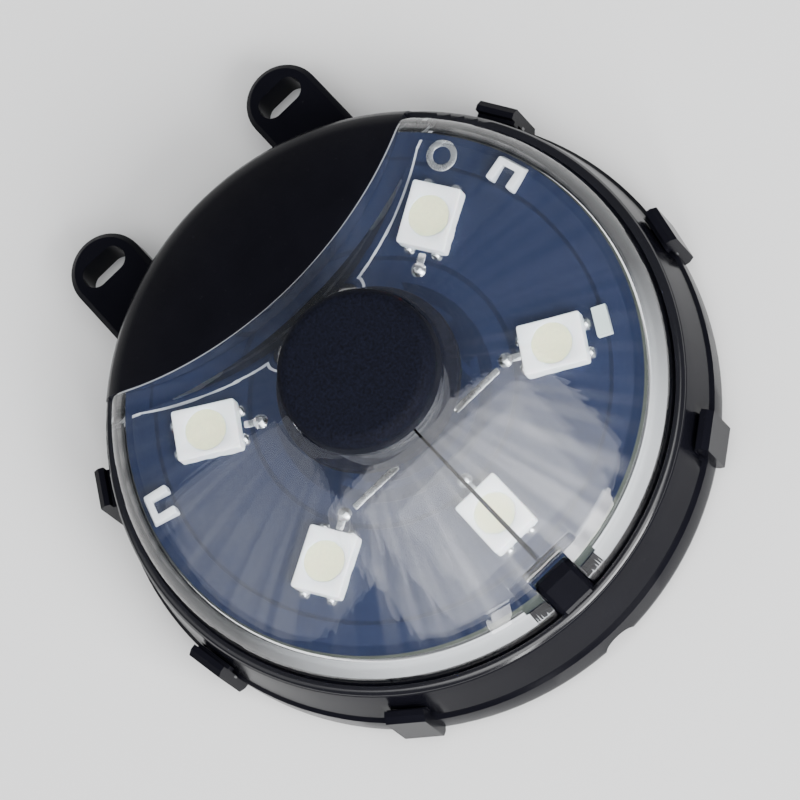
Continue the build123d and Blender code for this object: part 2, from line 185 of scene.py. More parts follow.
class Value:
    """A shader socket that Python's operators work on. Each operation adds one Math node, and a
    mask is a value of 0 or 1: masks are multiplied for both, and | gives either."""

    def __init__(self, finish, socket):
        self.finish = finish
        self.socket = socket

    def math(self, operation, *others):
        """The Math node of that name on this value and the others."""
        return self.finish.math(operation, self, *others)

    def reflected(self, operation, other):
        """The Math node of that name with the other value first."""
        return self.finish.math(operation, other, self)

    def __add__(self, other):
        return self.math("ADD", other)

    def __radd__(self, other):
        return self.reflected("ADD", other)

    def __sub__(self, other):
        return self.math("SUBTRACT", other)

    def __rsub__(self, other):
        return self.reflected("SUBTRACT", other)

    def __mul__(self, other):
        return self.math("MULTIPLY", other)

    def __rmul__(self, other):
        return self.reflected("MULTIPLY", other)

    def __truediv__(self, other):
        return self.math("DIVIDE", other)

    def __pow__(self, other):
        return self.math("POWER", other)

    def __lt__(self, other):
        return self.math("LESS_THAN", other)

    def __gt__(self, other):
        return self.math("GREATER_THAN", other)

    def __or__(self, other):
        return self.math("MAXIMUM", other)

    def __abs__(self):
        return self.math("ABSOLUTE")

    def near(self, place, reach):
        """1 where the value is within reach of a place, and 0 elsewhere."""
        return abs(self - place) < reach


class Finish:
    """A material's node tree, built a node at a time."""

    def __init__(self, name):
        self.material = bpy.data.materials.new(name)
        self.material.use_nodes = True
        self.tree = self.material.node_tree
        self.tree.nodes.clear()
        self.coordinates = self.node("ShaderNodeTexCoord").outputs["Object"]

    def node(self, kind, sockets=None, **options):
        """Adds a node of that kind with its settings and its sockets' values or links."""
        node = self.tree.nodes.new(kind)
        for name, value in options.items():
            setattr(node, name, value)
        for key, value in (sockets or {}).items():
            if isinstance(value, Value):
                value = value.socket
            if isinstance(value, bpy.types.NodeSocket):
                self.tree.links.new(value, node.inputs[key])
            else:
                node.inputs[key].default_value = value
        return node

    def math(self, operation, *inputs):
        """A Math node's result as a value."""
        node = self.node("ShaderNodeMath", dict(enumerate(inputs)), operation=operation)
        return Value(self, node.outputs[0])

    def axes(self):
        """Object coordinates and the distance from the Z axis, in millimetres."""
        split = self.node("ShaderNodeSeparateXYZ", {0: self.coordinates})
        x, y, z = [Value(self, output) * (1 / MM) for output in split.outputs]
        return x, y, z, (x * x + y * y) ** 0.5

    def noise(self, feature, detail=2.0, roughness=0.5, distortion=0.0):
        """Noise from 0 to 1 whose features are this many metres across."""
        node = self.node("ShaderNodeTexNoise", {
            "Vector": self.coordinates, "Scale": 1.0 / feature, "Detail": detail,
            "Roughness": roughness, "Distortion": distortion})
        return Value(self, node.outputs["Fac"])

    def rays(self, across, along, count):
        """Noise from 0 to 1 of a direction alone, so that it makes rays from the middle."""
        way = self.node("ShaderNodeCombineXYZ", {0: across, 1: along, 2: 0.0})
        node = self.node("ShaderNodeTexNoise", {"Vector": way.outputs[0], "Scale": count, "Detail": 1.0})
        return Value(self, node.outputs["Fac"])

    def ramp(self, value, low, high):
        """A value put through a ramp between two (place, grey) stops."""
        node = self.node("ShaderNodeValToRGB", {0: value})
        for element, (place, grey) in zip(node.color_ramp.elements, (low, high)):
            element.position = place
            element.color = (grey, grey, grey, 1.0)
        return Value(self, node.outputs["Color"])

    def blend(self, factor, first, second):
        """A colour between two colours."""
        colours = {0: factor, 6: shade(first), 7: shade(second)}
        return self.node("ShaderNodeMix", colours, data_type="RGBA").outputs[2]

    def bump(self, height, depth):
        """A normal from a height between 0 and 1 that stands for this depth in metres."""
        return self.node("ShaderNodeBump", {"Distance": depth, "Height": height}).outputs[0]

    def principled(self, sockets):
        """A Principled shader with these sockets."""
        return self.node("ShaderNodeBsdfPrincipled", sockets)

    def plain(self, sockets):
        """The material of one Principled shader."""
        return self.done(self.principled(sockets))

    def mixed(self, factor, first, second):
        """A shader between two shaders."""
        sockets = {0: factor, 1: first.outputs[0], 2: second.outputs[0]}
        return self.node("ShaderNodeMixShader", sockets)

    def done(self, shader):
        """Ends the tree in that shader and gives the material."""
        self.node("ShaderNodeOutputMaterial", {"Surface": shader.outputs[0]})
        return self.material


def shade(value):
    """A colour as red, green, blue and alpha, or a socket as it is."""
    if isinstance(value, (Value, bpy.types.NodeSocket)):
        return value
    return (*value, 1.0)


def lighter(value, factor):
    """A colour times a number, at most 1."""
    return tuple(min(1.0, part * factor) for part in value)


def black_plastic(name, satin, gloss, gloss_from, bead, grain_depth):
    """Black moulded plastic: fine grain, soft patches of sheen and a little dust. Outside the
    radius gloss_from it is polished, and most of all along the bead at that height."""
    shell = settings().shell
    black = shell.black
    finish = Finish(name)
    z, radius = finish.axes()[2:]
    grain = finish.noise(0.11 * MM, 3.0, 0.6)
    patches = finish.noise(3.2 * MM)
    dust = finish.ramp(finish.noise(0.32 * MM, 4.0, 0.7), (0.66, 0.0), (0.80, 1.0))
    polished = radius > gloss_from / MM
    matte = 1 - polished * 0.75
    bead_line = z.near(bead / MM, 0.2) * (radius < shell.ring_r / MM)
    tone = finish.blend(patches, lighter(black, 0.75), lighter(black, 1.35))
    unevenness = (patches - 0.5) * 0.1 + (grain - 0.5) * 0.1
    return finish.plain({
        "Base Color": finish.blend(dust * 0.12, tone, (0.12, 0.12, 0.13)),
        "Roughness": satin - polished * (satin - gloss) + unevenness * matte,
        "Normal": finish.bump(grain * matte, grain_depth),
        "Specular IOR Level": 0.035,
        "Coat Weight": polished * bead_line * 0.9,
        "Coat Roughness": 0.16,
        "Coat IOR": 1.6,
    })


def glare_marks(finish, x, y, radius):
    """The lens's flow ripples, and where its gloss shows: both run in rays from the button."""
    across, along = x / radius, y / radius
    fan = finish.rays(across, along, 7.0) * 0.5 + finish.rays(across, along, 19.0) * 0.5
    ripples = fan * finish.ramp(radius / 20, (0.22, 0.0), (0.5, 1.0))
    streaks = finish.rays(across + 3.1, along, 14.0)
    sheen = fan * 0.35 + streaks * 0.5 + finish.noise(2.4 * MM) * 0.15
    sheen = finish.ramp(sheen, (0.45, 0.0), (0.56, 1.0))
    return ripples, sheen * finish.ramp(radius / 16, (0.30, 0.25), (0.75, 1.0))


def frost_and_glint_marks(finish, lens, x, y, z, radius, outside):
    """Where the lens is frosted white or carries painted light: its unpolished rim wall and foot are
    frosted, painted whiter towards the tail key where the lights fall, and thin painted glint lines run
    along the top and the foot of the bite."""
    inner = (LENS_R - lens.wall) / MM
    walls = radius.near(inner, 0.12) * (z < lens.dome_edge / MM) | (z < LENS_BASE / MM + 0.02)
    # Painted highlight: the white of the frosted walls is made stronger towards -X, the side where the
    # lights fall
    lit_side = finish.ramp(0.5 - x / 32, (0.62, 0.12), (0.86, 1.0))
    # Painted glints: a thin white line along the top of the bite's edge and one along the foot of its
    # inner wall
    from_bite = ((x - (lens.bite_x + lens.bite_r) / MM) ** 2.0 + y * y) ** 0.5
    painted_glint_top = (from_bite < lens.bite_r / MM + 0.10) * outside * 0.6
    painted_glint_foot = from_bite.near((lens.bite_r + lens.wall) / MM, 0.14) * (z < BOARD_TOP / MM + 0.45)
    return walls * lit_side | (painted_glint_top | painted_glint_foot)


def clear_plastic():
    """Clear polished plastic. Light falls through it unbent, so what lies under it stays lit. The
    part of its foot over or beside the board is see-through, as it would mirror the lights there."""
    lens = settings().lens
    finish = Finish("clear_lens")
    x, y, z, radius = finish.axes()
    smear = finish.ramp(finish.noise(4.5 * MM, 3.0, 0.6, 0.8), (0.45, 0.0), (0.75, 1.0))
    from_centre = (x * x + y * y + (z - dome_centre() / MM) ** 2.0) ** 0.5
    skin = 0.12 * MM
    outside = from_centre > (dome_radius() - skin) / MM
    seen_from_outside = 1 - Value(finish, finish.node("ShaderNodeNewGeometry").outputs["Backfacing"])
    ripples, sheen = glare_marks(finish, x, y, radius)
    polished = finish.principled({
        "Base Color": shade(lens.tint),
        "Roughness": 0.012 + smear * lens.smudge,
        "Normal": finish.bump(ripples * outside, lens.ripple),
        "IOR": 1.5,
        "Specular IOR Level": 0.05,
        "Transmission Weight": 1.0,
        "Coat Weight": sheen * outside * seen_from_outside,
        "Coat Roughness": 0.24,
        "Coat IOR": 1.6,
    })
    # White shader for the frosted walls and foot, and also for the painted highlight on the lit side and
    # the painted glint lines along the bite
    white_frost_and_glint = finish.principled({
        "Base Color": (0.95, 0.97, 0.98, 1.0), "Roughness": 0.45, "Transmission Weight": 0.25, "IOR": 1.5})
    frost_and_glint_mask = frost_and_glint_marks(finish, lens, x, y, z, radius, outside) * lens.frost_glint_strength
    open_air = finish.node("ShaderNodeBsdfTransparent", {"Color": (0.93, 0.95, 0.98, 1.0)})
    shadow = Value(finish, finish.node("ShaderNodeLightPath").outputs["Is Shadow Ray"])
    beside_notch = (abs(y) < (lens.notch_half + lens.notch_wall) / MM + 0.2) * (x < 0)
    by_board = beside_notch * (radius < (LENS_R - lens.wall) / MM - 0.04) | (radius < BOARD_R / MM)
    over_board = (z < BOARD_TOP / MM + 0.12) * (z > LENS_BASE / MM + 0.05) * by_board
    return finish.done(finish.mixed(shadow | over_board, finish.mixed(frost_and_glint_mask, polished, white_frost_and_glint), open_air))


def frosted_plastic():
    """The lens's plastic where the mould was left matte."""
    finish = Finish("frosted_lens")
    grain = finish.noise(0.08 * MM)
    return finish.plain({
        "Base Color": finish.blend(grain, (0.84, 0.87, 0.90), (0.95, 0.97, 0.98)),
        "Roughness": 0.42 + grain * 0.1,
        "Transmission Weight": 0.25,
        "Normal": finish.bump(grain, 0.01 * MM),
    })


def button_rubber():
    """Matte blue-black rubber with a coarse moulded grain."""
    rubber = settings().button.rubber
    finish = Finish("button_rubber")
    grain = finish.noise(0.16 * MM, 2.0, 0.6)
    fine = finish.noise(0.05 * MM)
    mottle = finish.ramp(grain * 0.7 + fine * 0.3, (0.35, 0.0), (0.68, 1.0))
    return finish.plain({
        "Base Color": finish.blend(mottle, lighter(rubber, 0.55), lighter(rubber, 1.9)),
        "Roughness": 0.72 + (fine - 0.5) * 0.2,
        "Normal": finish.bump(grain * 0.75 + fine * 0.25, 0.035 * MM),
        "Specular IOR Level": 0.09,
    })


def solder_mask():
    """Circuit board: dark blue coat with copper fills, gaps and runs under it, and a bare edge."""
    board = settings().board
    finish = Finish("board_laminate")
    x, y, z, radius = finish.axes()
    # The copper's layout, in millimetres
    ring_gap = radius.near(7.4, 0.13) | radius.near(12.6, 0.11)
    hub_run = radius.near(5.2, 0.22) * (abs(x + 1.0) > 1.2)
    side_run = abs(y).near(4.1, 0.17) * (abs(x) < 3.4)
    fill = (1 - ring_gap) * (radius > 6.1)
    copper = fill | (hub_run | side_run)
    fibre = finish.noise(0.25 * MM)
    coat = finish.blend(copper, lighter(board.mask, 0.8), board.copper)
    coat = finish.blend(fibre * 0.35, coat, lighter(board.mask, 0.45))
    face = (z > BOARD_TOP / MM - 0.06) | (z < BOARD_BASE / MM + 0.06)
    return finish.plain({
        "Base Color": finish.blend(face, board.laminate, coat),
        "Roughness": 0.40 + (fibre - 0.5) * 0.08 + (1 - face) * 0.3,
        "Normal": finish.bump(copper * 0.8 + fibre * 0.2, 0.03 * MM),
        "Specular IOR Level": 0.15,
    })


def moulded(name, tone, roughness, feature=0.2, spread=0.12, glow=0.0):
    """A small moulded or fired piece: one colour with fine mottling and grain, whose features are
    this many millimetres across. Glow is the share of light that goes in and comes out again."""
    finish = Finish(name)
    grain = finish.noise(feature * MM)
    return finish.plain({
        "Base Color": finish.blend(grain, lighter(tone, 1 - spread), lighter(tone, 1 + spread)),
        "Roughness": roughness + (grain - 0.5) * 0.12,
        "Normal": finish.bump(grain, 0.004 * MM),
        "Subsurface Weight": glow,
        "Subsurface Scale": 0.4 * MM,
        "IOR": 1.5,
    })


def metal(name, tone, roughness, feature=0.5, depth=0.01):
    """Plated or tinned metal with faint ripples, this many millimetres across and deep."""
    finish = Finish(name)
    ripples = finish.noise(feature * MM, 3.0, 0.6)
    return finish.plain({
        "Base Color": finish.blend(ripples, lighter(tone, 0.85), lighter(tone, 1.05)),
        "Metallic": 1.0,
        "Roughness": roughness + (ripples - 0.5) * 0.16,
        "Normal": finish.bump(ripples, depth * MM),
    })


def turned_steel():
    """Nickel-plated steel of the coin cell, with fine rings from the press."""
    finish = Finish("cell_steel")
    radius = finish.axes()[3]
    rings = finish.noise(0.6 * MM) * 0.6 + (radius * 26.0).math("SINE") * 0.2 + 0.2
    return finish.plain({
        "Base Color": finish.blend(rings, (0.60, 0.60, 0.61), (0.78, 0.78, 0.78)),
        "Metallic": 1.0,
        "Roughness": 0.30 + rings * 0.10,
        "Normal": finish.bump(rings, 0.006 * MM),
    })


def film_resistor():
    """Chip resistor: pale ceramic with a slightly darker green film on top."""
    finish = Finish("resistor_ceramic")
    z = finish.axes()[2]
    top = z > (RESISTOR_TOP / MM - 0.06)
    fine = finish.noise(0.08 * MM)
    return finish.plain({
        "Base Color": finish.blend(top * 0.55, (0.70, 0.76, 0.72), (0.40, 0.52, 0.46)),
        "Roughness": 0.45 + (fine - 0.5) * 0.1,
        "Normal": finish.bump(fine, 0.004 * MM),
    })


def floor_paint():
    """Pale plain floor with a barely uneven tone."""
    finish = Finish("floor")
    base = settings().stage.floor
    tone = finish.noise(90 * MM)
    return finish.plain({
        "Base Color": finish.blend(tone, lighter(base, 0.98), lighter(base, 1.02)),
        "Roughness": 0.85,
        "Specular IOR Level": 0.15,
    })


def cells(rows, columns, ring_rows, ring_columns):
    """Corner numbers of the cells of a grid of points stored row by row. A ring's last row or
    column joins its first."""
    number = np.arange(rows * columns).reshape(rows, columns)
    if ring_rows:
        number = np.vstack([number, number[:1]])
    if ring_columns:
        number = np.hstack([number, number[:, :1]])
    corners = (number[:-1, :-1], number[1:, :-1], number[1:, 1:], number[:-1, 1:])
    return np.stack(corners, -1).reshape(-1, 4)


def swept(points, faces):
    """Six times the space between quads and the origin: the sum of each corner triple's determinant."""
    a, b, c, d = (points[faces[:, k]] for k in range(4))
    return (np.einsum("ij,ij->i", a, np.cross(b, c)) + np.einsum("ij,ij->i", a, np.cross(c, d))).sum()


def tube(grid):
    """A closed ring-by-ring surface as (points, faces), turned so that its faces look outwards."""
    rows, columns = grid.shape[:2]
    points = grid.reshape(-1, 3)
    faces = cells(rows, columns, True, True)
    if swept(points - points.mean(0), faces) < 0:
        faces = faces[:, ::-1]
    return points, faces.tolist()


def capped(grid):
    """Rings stacked from one flat end to the other as (points, faces), closed by a face at each end."""
    rows, columns = grid.shape[:2]
    points = grid.reshape(-1, 3)
    faces = cells(rows, columns, False, True)
    low = np.arange(columns)
    high = low + (rows - 1) * columns
    centred = points - points.mean(0)
    below, above = (
        np.cross(loop, np.roll(loop, -1, 0)).sum(0) @ loop[0] for loop in (centred[low], centred[high]))
    rings = [low.tolist(), high[::-1].tolist()]
    if swept(centred, faces) + below - above < 0:
        return points, faces[:, ::-1].tolist() + [ring[::-1] for ring in rings]
    return points, faces.tolist() + rings


def stacked(outlines, heights):
    """Flat outlines of one point count at their heights, as a capped shape."""
    return capped(np.stack([np.c_[line, np.full(len(line), z)] for line, z in zip(outlines, heights)]))


def round_points(angle, radius=1.0):
    """Points of a circle about the origin at these angles."""
    return radius * np.stack([np.cos(angle), np.sin(angle)], -1)


def joined(shapes):
    """Several (points, faces) as one."""
    points, faces, start = [], [], 0
    for shape_points, shape_faces in shapes:
        points.append(shape_points)
        faces.extend([start + corner for corner in face] for face in shape_faces)
        start += len(shape_points)
    return np.concatenate(points), faces


def moved(shape, matrix):
    """A (points, faces) put through a 4 by 4 matrix."""
    turn = np.array(matrix)
    return shape[0] @ turn[:3, :3].T + turn[:3, 3], shape[1]


def shifted(shape, x, y, z=0.0):
    """A (points, faces) moved along the axes."""
    return moved(shape, Matrix.Translation((x, y, z)))


def radial(radius, angle, height=0.0):
    """The matrix of a place at a radius, a height and an angle in degrees from +X."""
    return Matrix.Rotation(math.radians(angle), 4, "Z") @ Matrix.Translation((radius, 0, height))


def linked(name, data):
    """A new object in the scene."""
    made = bpy.data.objects.new(name, data)
    bpy.context.scene.collection.objects.link(made)
    return made


def finished(name, mesh, material, body, replaces, sharp):
    """The object of a mesh, smooth but for edges sharper than an angle in degrees, on its body."""
    mesh.materials.clear()
    mesh.materials.append(material)
    mesh.shade_smooth()
    mesh.set_sharp_from_angle(angle=math.radians(sharp))
    made = linked(name, mesh)
    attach(made, body)
    if replaces:
        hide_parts(*replaces)
    return made


def piece(name, shape, material, body, replaces=(), sharp=38.0):
    """Makes the object of a new piece from its (points, faces)."""
    points, faces = shape
    mesh = bpy.data.meshes.new(name)
    mesh.from_pydata(np.asarray(points).tolist(), [], faces)
    if mesh.validate():
        raise RuntimeError(f"{name} has faces that are not sound")
    return finished(name, mesh, material, body, replaces, sharp)


def dressed(material, *nodes):
    """Gives CAD nodes their finish. Their loose triangles are welded by a modifier, so that they
    shade smoothly between the sharp edges."""
    for node in nodes:
        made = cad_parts[node]
        made.data.materials.clear()
        made.data.materials.append(material)
        made.modifiers.new("weld", "WELD").merge_threshold = WELD_DISTANCE


def eased_copy(node, name, material, body, edge):
    """A copy of a CAD node with its doubles merged, flat faces joined and hard edges rounded."""
    work = bmesh.new()
    work.from_mesh(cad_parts[node].data)
    bmesh.ops.remove_doubles(work, verts=work.verts, dist=WELD_DISTANCE)
    bmesh.ops.dissolve_limit(
        work, angle_limit=math.radians(0.4), verts=work.verts, edges=work.edges, delimit={"NORMAL"})
    mesh = bpy.data.meshes.new(name)
    work.to_mesh(mesh)
    work.free()
    made = finished(name, mesh, material, body, (node,), HARD_EDGE)
    bevel = made.modifiers.new("edge", "BEVEL")
    bevel.width = edge
    bevel.segments = 3
    bevel.limit_method = "ANGLE"
    bevel.angle_limit = math.radians(HARD_EDGE)
    bevel.use_clamp_overlap = True
    bevel.harden_normals = False
    return made


def rounded_path(corners, rounds, steps):
    """A closed outline with its corners rounded: each arc runs between the two points where a
    circle of that radius touches the corner's sides, and its points are the circle's centre plus
    the blend of the two touching directions, brought back to the radius."""
    corners = np.asarray(corners, float)
    rounds = np.maximum(np.broadcast_to(rounds, len(corners)), 1e-9)[:, None]
    back = np.roll(corners, 1, 0) - corners
    ahead = np.roll(corners, -1, 0) - corners
    back /= np.linalg.norm(back, axis=1, keepdims=True)
    ahead /= np.linalg.norm(ahead, axis=1, keepdims=True)
    half = np.arccos(np.clip((back * ahead).sum(1, keepdims=True), -1, 1)) / 2
    middle = back + ahead
    middle /= np.linalg.norm(middle, axis=1, keepdims=True)
    centre = corners + middle * rounds / np.sin(half)
    start = corners + back * rounds / np.tan(half) - centre
    end = corners + ahead * rounds / np.tan(half) - centre
    mix = np.linspace(0, 1, steps)[None, :, None]
    arc = start[:, None] * (1 - mix) + end[:, None] * mix
    arc *= rounds[:, :, None] / np.linalg.norm(arc, axis=2, keepdims=True)
    return (centre[:, None] + arc).reshape(-1, 2)


def turned(profile, count):
    """A closed (radius, height) profile carried round Z: x = r cos a, y = r sin a."""
    angle = np.linspace(0, 2 * np.pi, count, endpoint=False)
    r, z = profile[:, :1], profile[:, 1:]
    return np.stack([r * np.cos(angle), r * np.sin(angle), z + 0 * angle], -1)


def inset(outline, distance):
    """An outline moved inwards: each point goes along the inward normal of its neighbours' chord."""
    chord = np.roll(outline, -1, 0) - np.roll(outline, 1, 0)
    area = np.cross(outline, np.roll(outline, -1, 0)).sum()
    normal = np.stack([-chord[:, 1], chord[:, 0]], -1) * np.sign(area)
    normal /= np.maximum(np.linalg.norm(normal, axis=1, keepdims=True), 1e-12)
    return outline + normal * distance


def slab(outline, low, high, edge):
    """A plate between two heights, with rounded rims. Ring k of a rim lies inset by
    e (1 - sin a) at e (1 - cos a) from its face, for a from 0 to a right angle."""
    angle = np.linspace(0, np.pi / 2, 3)
    rings = [inset(outline, distance) for distance in edge * (1 - np.sin(angle))]
    depths = edge * (1 - np.cos(angle))
    return stacked([*rings, *rings[::-1]], [*(low + depths), *(high - depths[::-1])])


def box_outline(length_x, length_y, corner, steps=5):
    """A rectangle about the origin with rounded corners."""
    x, y = length_x / 2, length_y / 2
    return rounded_path([(-x, -y), (x, -y), (x, y), (-x, y)], corner, steps)


def even(points, count):
    """Points spaced evenly by arc length along an open line."""
    steps = np.linalg.norm(np.diff(points, axis=0), axis=1)
    place = np.concatenate([[0], np.cumsum(steps)])
    wanted = np.linspace(0, place[-1], count)
    return np.stack([np.interp(wanted, place, points[:, k]) for k in range(2)], -1)


def arc(centre_x, radius, start, end, count=200):
    """Points of an arc about a centre on the X axis, between two angles."""
    return round_points(np.linspace(start, end, count), radius) + (centre_x, 0.0)


# Points on each stretch of half the lens's outline: bite, rim, notch side and notch end. Below, the
# angles on the button's hole, in degrees from +X, that the ends of these stretches run to.
LENS_PARTS = (70, 210, 20, 16)
HOLE_PARTS = (0.0, 43.0, 155.0, 165.0, 180.0)


def lens_outline(rim_r, bite_r, bite_centre, notch_half, notch_x):
    """Outline of the lens from +X round by +Y, mirrored below: along the bite, round the rim,
    down the notch's side and along its end. Every outline has the same count on each stretch, so
    that two of them pair up point by point. Averaging neighbours three times eases its corners."""
    meet_x = (rim_r ** 2 - bite_r ** 2 + bite_centre ** 2) / (2 * bite_centre)
    meet_y = math.sqrt(rim_r ** 2 - meet_x ** 2)
    bite_angle = math.atan2(meet_y, meet_x - bite_centre)
    notch_angle = math.pi - math.asin(notch_half / rim_r)
    stretches = (
        arc(bite_centre, bite_r, math.pi, bite_angle),
        arc(0.0, rim_r, math.atan2(meet_y, meet_x), notch_angle),
        np.array([[rim_r * math.cos(notch_angle), notch_half], [-notch_x, notch_half]]),
        np.array([[-notch_x, notch_half], [-notch_x, 0.0]]),
    )
    half = np.concatenate(
        [even(line, count + 1)[:-1] for line, count in zip(stretches, LENS_PARTS)] + [[[-notch_x, 0.0]]])
    outline = np.concatenate([half, half[-2:0:-1] * (1, -1)])
    for _ in range(3):
        outline = (np.roll(outline, 1, 0) + 2 * outline + np.roll(outline, -1, 0)) / 4
    return outline


def dome_height(radius, top, dome_r, rim_r, shoulder):
    """Height of a dome with a rounded shoulder: the sphere of dome_r inside the touching circle,
    and outside it the shoulder's own arc, which ends upright at rim_r."""
    base = top - dome_r
    centre_r = rim_r - shoulder
    centre_z = base + math.sqrt((dome_r - shoulder) ** 2 - centre_r ** 2)
    touch_r = centre_r * dome_r / (dome_r - shoulder)
    sphere = base + np.sqrt(np.maximum(dome_r ** 2 - radius ** 2, 0))
    arc_z = centre_z + np.sqrt(np.maximum(shoulder ** 2 - (radius - centre_r) ** 2, 0))
    return np.where(radius < touch_r, sphere, arc_z)


def dome_radius():
    """Radius of the lens's outer dome, which rises from its edge to its top: (r^2 + h^2) / 2h."""
    sizes = settings().lens
    rise = sizes.dome_top - sizes.dome_edge
    return (LENS_R ** 2 + rise ** 2) / (2 * rise)


def dome_centre():
    """Height of the middle of the lens's domes."""
    return settings().lens.dome_top - dome_radius()


def lens_skin(sizes):
    """The lens as one closed ring of sections. Each section starts at the foot of the outer wall,
    climbs it, crosses the dome to the button's hole on a straight line in plan, goes down the
    hole, comes back under the dome and down the inner wall. Heights are the two domes'."""
    centre = sizes.bite_x + sizes.bite_r
    dome_r = dome_radius()
    inner_r = LENS_R - sizes.wall
    inner_edge = 0.02 * MM
    clearance = 0.1 * MM
    notch_x = LENS_R - sizes.notch_depth
    outer = lens_outline(LENS_R, sizes.bite_r, centre, sizes.notch_half, notch_x)
    inner = lens_outline(
        inner_r, sizes.bite_r + sizes.wall, centre, sizes.notch_half + sizes.notch_wall,
        notch_x - sizes.notch_wall)
    knots = np.concatenate([[0], np.cumsum(LENS_PARTS)])
    half_turn = np.interp(np.arange(knots[-1] + 1), knots, np.radians(HOLE_PARTS))
    turn = np.concatenate([half_turn, -half_turn[-2:0:-1]])
    hole = round_points(turn, sizes.hole_r)

    steps, wall_steps = 46, 4
    way = 1 - np.cos(np.linspace(0, 1, steps) * np.pi / 2)

    def crossing(edge_line, top, dome_r, rim_r, shoulder, edge):
        """Rows of a dome's surface from an outline to the hole, with both edges eased."""
        flat = edge_line[None] * (1 - way[:, None, None]) + hole[None] * way[:, None, None]
        height = dome_height(np.linalg.norm(flat, axis=2), top, dome_r, rim_r, shoulder)
        span = np.linalg.norm(edge_line - hole, axis=1)[None]
        near = np.minimum(way[:, None] * span, (1 - way[:, None]) * span)
        short = np.maximum(edge - near, 0)
        height = height - (edge - np.sqrt(np.maximum(edge ** 2 - short ** 2, 0)))
        return np.dstack([flat, height])

    top = crossing(outer, sizes.dome_top, dome_r, LENS_R, sizes.shoulder, sizes.edge)
    under = crossing(
        inner, sizes.dome_top - sizes.wall, dome_r - sizes.wall, inner_r,
        sizes.shoulder - sizes.wall, inner_edge)
    # The fine groove under the dome runs from the middle of the notch to the hole
    under[:, sum(LENS_PARTS), 2] += sizes.groove

    def foot(line):
        """Height of the lens's foot: low outside the board, and just above it elsewhere."""
        beside = np.linalg.norm(line, axis=-1) > BOARD_R + clearance
        return np.where(beside, LENS_BASE, BOARD_TOP + clearance)

    def wall(line, head):
        """Rows of a wall from its foot up to a row of the dome."""
        part = np.linspace(0, 1, wall_steps + 1)[:-1, None]
        height = foot(line) * (1 - part) + head[:, 2] * part
        return np.dstack([np.broadcast_to(line, (wall_steps, *line.shape)), height])

    bore = np.linspace(0, 1, 4)[1:-1, None, None]
    down = top[-1] * (1 - bore) + under[-1] * bore
    part = np.linspace(0, 1, 14)[1:-1, None, None]
    sole = inner * (1 - part) + outer * part
    sole = np.dstack([sole, foot(sole)])
    inner_wall = wall(inner, under[0])[::-1]
    return tube(np.concatenate([wall(outer, top[0]), top, down, under[::-1], inner_wall, sole]))


def foot_skin(angle):
    """U-shaped foot under the lens: two legs towards the middle, joined along the wall."""
    back_r, reach, half, rib = LENS_R - 1.7 * MM, 1.5 * MM, 0.85 * MM, 0.42 * MM
    corner, edge = 0.08 * MM, 0.05 * MM
    plan = [(back_r - reach, -half), (back_r, -half), (back_r, half), (back_r - reach, half),
            (back_r - reach, half - rib), (back_r - rib, half - rib), (back_r - rib, rib - half),
            (back_r - reach, rib - half)]
    low, high = BOARD_TOP + 0.02 * MM, BOARD_TOP + 0.72 * MM
    return moved(slab(rounded_path(plan, corner, 4), low, high, edge), radial(0, angle))


def make_button_shape(sizes):
    """The button cap as rings from the post's foot, over the hollow and the flange, to the crown.
    The crown lifts each point by crown (1 - (r / rim)^2)."""
    rim_r = settings().lens.hole_r - 0.1 * MM
    post_r, wall, pole_r = 1.6 * MM, 1.2 * MM, 0.03 * MM
    slope, slope_rise = 0.34 * MM, 0.12 * MM
    foot, roof, top = CAP_LOW.z, CAP_HIGH.z - wall, CAP_HIGH.z - sizes.crown
    flange_r = CAP_HIGH.y
    flange_low = foot + 0.416 * MM
    flange_high = flange_low + 0.6 * MM
    corners = [
        (pole_r, foot), (post_r - slope, foot), (post_r, foot + slope_rise), (post_r, roof),
        (rim_r - wall, roof), (rim_r - wall, flange_low), (flange_r, flange_low), (flange_r, flange_high),
        (rim_r, flange_high), (rim_r, top), (pole_r, top)]
    inner_ease, outer_ease = 0.1 * MM, 0.12 * MM
    rounds = [1e-6, 0.03 * MM, 0.05 * MM, *[inner_ease] * 3, *[outer_ease] * 3, sizes.round, 1e-6]
    arc_points = 12
    profile = rounded_path(corners, rounds, arc_points)
    last = profile[:-arc_points]
    run = np.linspace(0, 1, 14)[1:, None]
    flat_end = last[-1] * (1 - run) + np.array([pole_r, top]) * run
    profile = np.concatenate([last, flat_end])
    lift = sizes.crown * (1 - (profile[:, 0] / rim_r) ** 2) * (profile[:, 1] > top - sizes.round)
    profile = profile + np.c_[np.zeros(len(profile)), np.maximum(lift, 0)]
    profile = profile[np.concatenate([[True], np.abs(np.diff(profile, axis=0)).sum(1) > 1e-8])]
    return capped(turned(profile, 224))


def led_housing():
    """Diode housing: a rounded box whose top falls into a cone-shaped well. Its rings run from
    the box's foot over its rim to the well's floor, and each ring has the outline's own angles."""
    length_x, length_y, corner, rim_r = 3.5 * MM, 2.8 * MM, 0.14 * MM, 0.07 * MM
    outline = box_outline(length_x, length_y, corner, 7)
    outline = np.concatenate([outline[-1:], outline[:-1]])
    dense = even(np.concatenate([outline, outline[:1]]), 129)[:-1]
    angle = np.arctan2(dense[:, 1], dense[:, 0])
    rows = [(dense, 0.0)]
    for a in np.linspace(0, np.pi / 2, 4):
        rows.append((inset(dense, rim_r * (1 - np.cos(a))), LED_HEIGHT - rim_r * (1 - np.sin(a))))
    well = ((1.19, 0.0), (1.13, 0.03), (1.0, 0.27))
    for radius, depth in well:
        rows.append((round_points(angle) * radius * MM, LED_HEIGHT - depth * MM))
    return stacked(*zip(*rows))


